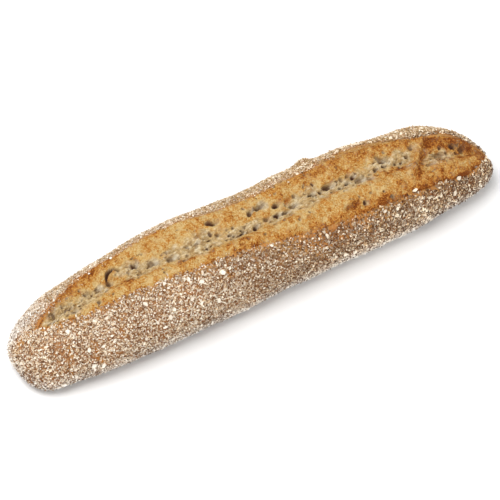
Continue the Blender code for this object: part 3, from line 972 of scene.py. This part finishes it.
def large_flakes(skin, finish):
    """The largest pale flakes, laid on the crust at their own places."""
    rng = np.random.default_rng(LARGE_SEED)
    places, lengths = np.split(np.array(LARGE_FLAKES), [3], axis=1)
    lengths = lengths[:, 0]
    vertices = skin.data.vertices
    nearest = [min(vertices, key=lambda corner: (corner.co - Vector(spot)).length) for spot in places]
    outward = np.array([corner.normal for corner in nearest])
    turns = turned_about(outward + rng.normal(0, 0.25, outward.shape), rng)
    widths = lengths * rng.uniform(0.5, 0.75, len(places))
    sizes = np.stack([lengths, widths, 0 * lengths + LARGE_THICKNESS], axis=-1)
    tone = rng.uniform(0.5, 0.95, len(places))
    spots = places + outward * LARGE_LIFT
    return join_flakes("large_flakes", oat, LARGE_KINDS, rng, spots, turns, sizes, tone, finish)


# Finishes


def new_group(name, inputs, outputs):
    """A node group, the sockets that its nodes read and the sockets that they fill."""
    group = bpy.data.node_groups.new(name, "ShaderNodeTree")
    for way, sockets in (("INPUT", inputs), ("OUTPUT", outputs)):
        for socket, kind in sockets.items():
            group.interface.new_socket(socket, in_out=way, socket_type="NodeSocket" + kind)
    given = group.nodes.new("NodeGroupInput")
    result = group.nodes.new("NodeGroupOutput")
    return group, given.outputs, result.inputs


def add_node(tree, kind, inputs=(), **settings):
    """A shader node with its settings, and values or links for its inputs."""
    node = tree.nodes.new(kind)
    for key, value in settings.items():
        setattr(node, key, value)
    for key, value in dict(inputs).items():
        if isinstance(value, bpy.types.NodeSocket):
            tree.links.new(value, node.inputs[key])
        else:
            node.inputs[key].default_value = value
    return node


def math_node(tree, operation, a, b, clamp=False):
    return add_node(tree, "ShaderNodeMath", {0: a, 1: b}, operation=operation, use_clamp=clamp).outputs[0]


def scale_and_add(tree, value, factor, added, clamp=False):
    """value * factor + added, each a number or a link."""
    given = {0: value, 1: factor, 2: added}
    return add_node(tree, "ShaderNodeMath", given, operation="MULTIPLY_ADD", use_clamp=clamp).outputs[0]


def mapped(tree, value, low, high, start=0.0, stop=1.0):
    """Moves the value from the range low to high onto start to stop, and holds it there."""
    given = {"Value": value, "From Min": low, "From Max": high, "To Min": start, "To Max": stop}
    return add_node(tree, "ShaderNodeMapRange", given).outputs[0]


def mix_colour(tree, share, a, b, blend="MIX"):
    node = add_node(tree, "ShaderNodeMix", {0: share, 6: a, 7: b}, data_type="RGBA", blend_type=blend)
    return node.outputs[2]


def ramp(tree, value, *stops):
    """A colour ramp with (place, colour) stops."""
    node = add_node(tree, "ShaderNodeValToRGB", {0: value})
    scale = node.color_ramp.elements
    while len(scale) < len(stops):
        scale.new(0.5)
    for element, (place, colour) in zip(scale, stops):
        element.position = place
        element.color = (*colour, 1)
    return node.outputs[0]


def attribute(tree, name):
    return add_node(tree, "ShaderNodeAttribute", attribute_name=name).outputs["Fac"]


def mottle_group():
    """Patchy noise at one size: a mask of about 0 to 1 and a height for a bump."""
    group, given, result = new_group(
        "mottle",
        {"Size": "Float", "Contrast": "Float", "Stretch": "Vector"},
        {"Mask": "Float", "Height": "Float"},
    )
    place = add_node(group, "ShaderNodeTexCoord").outputs["Object"]
    stretched = add_node(
        group, "ShaderNodeVectorMath", {0: place, 1: given["Stretch"]}, operation="MULTIPLY"
    ).outputs[0]
    cloud = add_node(
        group,
        "ShaderNodeTexNoise",
        {"Vector": stretched, "Scale": given["Size"], "Detail": 4.0, "Roughness": 0.62},
    ).outputs[0]
    centred = math_node(group, "SUBTRACT", cloud, 0.5)
    mask = scale_and_add(group, centred, given["Contrast"], 0.5, clamp=True)
    group.links.new(mask, result["Mask"])
    group.links.new(cloud, result["Height"])
    return group


def deepen_group():
    """Darkens a colour along the loaf, to the most at its right end, which was baked the hardest."""
    group, given, result = new_group("deepen", {"Colour": "Color", "Amount": "Float"}, {"Colour": "Color"})
    place = add_node(group, "ShaderNodeTexCoord").outputs["Object"]
    along = add_node(group, "ShaderNodeSeparateXYZ", {0: place}).outputs["X"]
    amount = math_node(group, "MULTIPLY", mapped(group, along, -0.16, 0.16), given["Amount"])
    group.links.new(mix_colour(group, amount, given["Colour"], HARD_BAKED), result["Colour"])
    return group


def mottled(tree, mottle, size, contrast, stretch=(1, 1, 1)):
    node = add_node(tree, "ShaderNodeGroup", node_tree=mottle)
    node.inputs["Size"].default_value = size
    node.inputs["Contrast"].default_value = contrast
    node.inputs["Stretch"].default_value = stretch
    return node.outputs


def deepened(tree, deepen, colour, amount):
    given = {"Colour": colour, "Amount": amount}
    return add_node(tree, "ShaderNodeGroup", given, node_tree=deepen).outputs[0]


def husk_group(mottle, deepen):
    """Bran's own finish: a colour by each flake's tone, streaked, dustier near the base, painted light on
    the back, and painted light and shade in a sharper split near the floor.
    """
    group, given, result = new_group(
        "husk",
        {"Tone": "Float", "Dark": "Color", "Light": "Color"},
        {"Colour": "Color", "Roughness": "Float", "Height": "Float"},
    )
    streaks = mottled(group, mottle, 900.0, 1.4)
    streaked = scale_and_add(group, streaks["Mask"], 0.30, given["Tone"])
    share = math_node(group, "SUBTRACT", streaked, 0.15, clamp=True)

    place = add_node(group, "ShaderNodeTexCoord").outputs["Object"]
    axes = add_node(group, "ShaderNodeSeparateXYZ", {0: place}).outputs
    low = mapped(group, axes["Z"], 0.004, 0.020, 0.90, 0.0)
    behind = mapped(group, axes["Y"], 0.006, 0.014)
    inward = mapped(group, axes["X"], -0.188, -0.150)
    rightward = mapped(group, axes["X"], -0.09, 0.05)
    # Flour near the base; on the back, most at the left end, flour and painted light from above and behind
    flour_and_back_light = mapped(group, inward, 0.0, 1.0, 0.75, 0.12)
    dust_and_light_share = math_node(group, "MAXIMUM", low, math_node(group, "MULTIPLY", behind, flour_and_back_light))

    deep = deepened(group, deepen, given["Dark"], BRAN_DEEPER)
    # A greyer dark colour towards the floor
    dark = mix_colour(group, math_node(group, "MULTIPLY", low, 0.5), deep, FLOOR_GREY)
    # Painted light: the dark end is golden on the back
    dark = mix_colour(group, math_node(group, "MULTIPLY", behind, inward), dark, PAINTED_LIGHT_GOLD)
    warm = mix_colour(group, rightward, given["Light"], WARMTH, "MULTIPLY")
    light = mix_colour(group, dust_and_light_share, warm, DUST_AND_BACK_LIGHT)
    centred = math_node(group, "SUBTRACT", share, 0.5)
    # Painted light and shade: near the floor the light and dark are pushed further apart, and the mix leans
    # a little paler
    sharper = scale_and_add(group, low, 2.2, 1.0)
    paler = scale_and_add(group, low, 0.10, 0.52)
    parted = scale_and_add(group, centred, sharper, paler, clamp=True)
    group.links.new(mix_colour(group, parted, dark, light), result["Colour"])
    group.links.new(scale_and_add(group, streaks["Mask"], 0.25, 0.62), result["Roughness"])
    group.links.new(streaks["Height"], result["Height"])
    return group


def new_finish(name):
    """An empty material and its shader."""
    finish = bpy.data.materials.new(name)
    finish.use_nodes = True
    return finish, finish.node_tree, finish.node_tree.nodes["Principled BSDF"]


def bump(tree, shader, height, strength, distance):
    node = add_node(tree, "ShaderNodeBump", {"Height": height, "Strength": strength, "Distance": distance})
    tree.links.new(node.outputs[0], shader.inputs["Normal"])


def crust_finish(mottle, deepen):
    """The red-brown crust that shows between the bran."""
    finish, tree, shader = new_finish("baked_crust")
    wide = mottled(tree, mottle, 60, 2.2)
    fine = mottled(tree, mottle, 700, 1.8)
    base = ramp(
        tree,
        wide["Mask"],
        (0.1, (0.215, 0.084, 0.031)),
        (0.5, (0.32, 0.138, 0.055)),
        (0.9, (0.45, 0.222, 0.100)),
    )
    baked = deepened(tree, deepen, base, CRUST_DEEPER)
    glow = ramp(
        tree,
        attribute(tree, "toast_and_shade"),
        (0.3, (0.58, 0.33, 0.11)),
        (0.55, (0.47, 0.195, 0.046)),
        (1.0, (0.30, 0.095, 0.024)),
    )
    glow_share = math_node(tree, "MULTIPLY", attribute(tree, "toast_and_shade"), 1.7, clamp=True)
    lit = mix_colour(tree, glow_share, baked, glow)
    shade = mix_colour(tree, fine["Mask"], lit, (0.55, 0.29, 0.105, 1))
    shade = mix_colour(tree, 0.4, lit, shade)
    tree.links.new(shade, shader.inputs["Base Color"])
    tree.links.new(scale_and_add(tree, fine["Mask"], 0.25, 0.6), shader.inputs["Roughness"])
    shader.inputs["Specular IOR Level"].default_value = 0.12
    bump(tree, shader, fine["Height"], 0.6, 0.0008)
    return finish


def crumb_finish(mottle):
    """The torn slash: golden skin that browns at its edges, pale open crumb, and dark pores of painted shade
    with painted light on their right walls.
    """
    finish, tree, shader = new_finish("torn_crumb")
    wide = mottled(tree, mottle, 140, 2.6)
    middle = mottled(tree, mottle, 420, 2.6, (0.6, 1, 1))
    fine = mottled(tree, mottle, 850, 3.4)
    # This brown holds real browning, and also the painted shadow past the fold and the painted shade in the
    # closed pits.
    browned_and_shaded = attribute(tree, "toast_and_shade")
    for layer, share in zip((wide, middle, fine), BROWNING):
        browned_and_shaded = scale_and_add(tree, layer["Mask"], share, browned_and_shaded)
    baked = math_node(tree, "SUBTRACT", browned_and_shaded, BROWNING_OFF, clamp=True)
    skin = ramp(
        tree,
        baked,
        (0.0, (0.675, 0.480, 0.213)),
        (0.25, (0.580, 0.340, 0.104)),
        (0.50, (0.53, 0.240, 0.050)),
        (0.75, (0.39, 0.130, 0.022)),
        (1.0, (0.19, 0.050, 0.009)),
    )
    open_part = ramp(
        tree,
        middle["Mask"],
        (0.1, (0.40, 0.225, 0.090)),
        (0.45, (0.60, 0.425, 0.203)),
        (0.9, (0.86, 0.725, 0.487)),
    )
    grained = scale_and_add(tree, fine["Mask"], 0.5, attribute(tree, "crumb"))
    webbed = scale_and_add(tree, wide["Mask"], -0.7, grained)
    opened = math_node(tree, "ADD", webbed, 0.02, clamp=True)
    torn = mix_colour(tree, opened, skin, open_part)
    # Painted shade in the pores and cell hollows, and painted light on the pores' right walls
    pit = math_node(tree, "POWER", attribute(tree, "pit"), 0.8, clamp=True)
    wall_share = math_node(tree, "MULTIPLY", attribute(tree, "wall"), 0.7)
    walled = mix_colour(tree, wall_share, torn, (0.74, 0.67, 0.53, 1))
    holed = mix_colour(tree, pit, walled, (0.105, 0.046, 0.028, 1))
    tree.links.new(holed, shader.inputs["Base Color"])
    tree.links.new(scale_and_add(tree, opened, 0.30, 0.6), shader.inputs["Roughness"])
    shader.inputs["Specular IOR Level"].default_value = 0.05
    bump(tree, shader, fine["Height"], 1.0, 0.0018)
    return finish


def bran_finish(name, husk):
    finish, tree, shader = new_finish(name)
    node = add_node(tree, "ShaderNodeGroup", {"Tone": attribute(tree, "tone")}, node_tree=husk)
    for tone, colour in zip(("Dark", "Light"), BRAN_COLOURS[name]):
        node.inputs[tone].default_value = (*colour, 1)
    tree.links.new(node.outputs["Colour"], shader.inputs["Base Color"])
    tree.links.new(node.outputs["Roughness"], shader.inputs["Roughness"])
    shader.inputs["Specular IOR Level"].default_value = 0.15
    bump(tree, shader, node.outputs["Height"], 0.3, 0.0003)
    return finish


# Stage


def make_floor():
    bm = bmesh.new()
    bmesh.ops.create_grid(bm, x_segments=1, y_segments=1, size=8.0)
    mesh = bpy.data.meshes.new("floor")
    bm.to_mesh(mesh)
    bm.free()
    finish, _, shader = new_finish("pale_floor")
    shader.inputs["Base Color"].default_value = (0.93, 0.93, 0.93, 1)
    shader.inputs["Roughness"].default_value = 0.9
    new_piece("floor", mesh, finish)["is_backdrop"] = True


def make_light(name, place, size, power):
    """A square soft light that faces the loaf."""
    lamp = bpy.data.lights.new(name, "AREA")
    lamp.size = size
    lamp.energy = power
    holder = bpy.data.objects.new(name, lamp)
    holder.location = place
    holder.rotation_mode = "QUATERNION"
    holder.rotation_quaternion = Vector(place).to_track_quat("Z", "Y")
    bpy.context.scene.collection.objects.link(holder)


def make_stage():
    make_floor()
    make_light("key_light", *KEY_LIGHT)
    make_light("fill_light", *FILL_LIGHT)
    world = bpy.data.worlds.new("studio")
    world.use_nodes = True
    world.node_tree.nodes["Background"].inputs["Color"].default_value = (1, 1, 1, 1)
    world.node_tree.nodes["Background"].inputs["Strength"].default_value = SKY_STRENGTH
    bpy.context.scene.world = world
    bpy.context.scene.view_settings.view_transform = "Standard"


def make_camera():
    lens = bpy.data.cameras.new("camera")
    lens.lens = CAMERA_LENS
    camera = bpy.data.objects.new("camera", lens)
    flat = math.cos(CAMERA_HEIGHT)
    back = Vector((math.sin(CAMERA_TURN) * flat, -math.cos(CAMERA_TURN) * flat, math.sin(CAMERA_HEIGHT)))
    camera.location = CAMERA_AIM + back * CAMERA_DISTANCE
    camera.rotation_mode = "QUATERNION"
    camera.rotation_quaternion = back.to_track_quat("Z", "Y")
    bpy.context.scene.collection.objects.link(camera)
    bpy.context.scene.camera = camera


def main():
    make_camera()
    make_stage()
    mottle = mottle_group()
    deepen = deepen_group()
    husk = husk_group(mottle, deepen)
    skin, crust_places = make_skin(crust_finish(mottle, deepen), crumb_finish(mottle))
    cover = crust_cover(skin.data, crust_places)
    bran = {name: bran_finish(name, husk) for name in BRAN_COLOURS}
    shapes = {
        "bran_specks": (speck, "tan_bran"),
        "cream_chips": (chip, "cream_bran"),
        "tan_chips": (chip, "tan_bran"),
        "brown_chips": (chip, "brown_bran"),
        "cracked_wheat": (grit, "cracked_wheat"),
        "oat_flakes": (oat, "rolled_oat"),
    }
    pieces = [skin]
    for seed, (name, (shape, finish)) in enumerate(shapes.items()):
        pieces.append(strew(name, shape, skin, cover, bran[finish], seed))
    pieces.append(large_flakes(skin, bran["rolled_oat"]))
    for piece in pieces:
        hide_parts("loaf")
        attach(piece, "root")


main()
[[list(corner) for corner in box] for box in (CAD_BOX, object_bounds())]
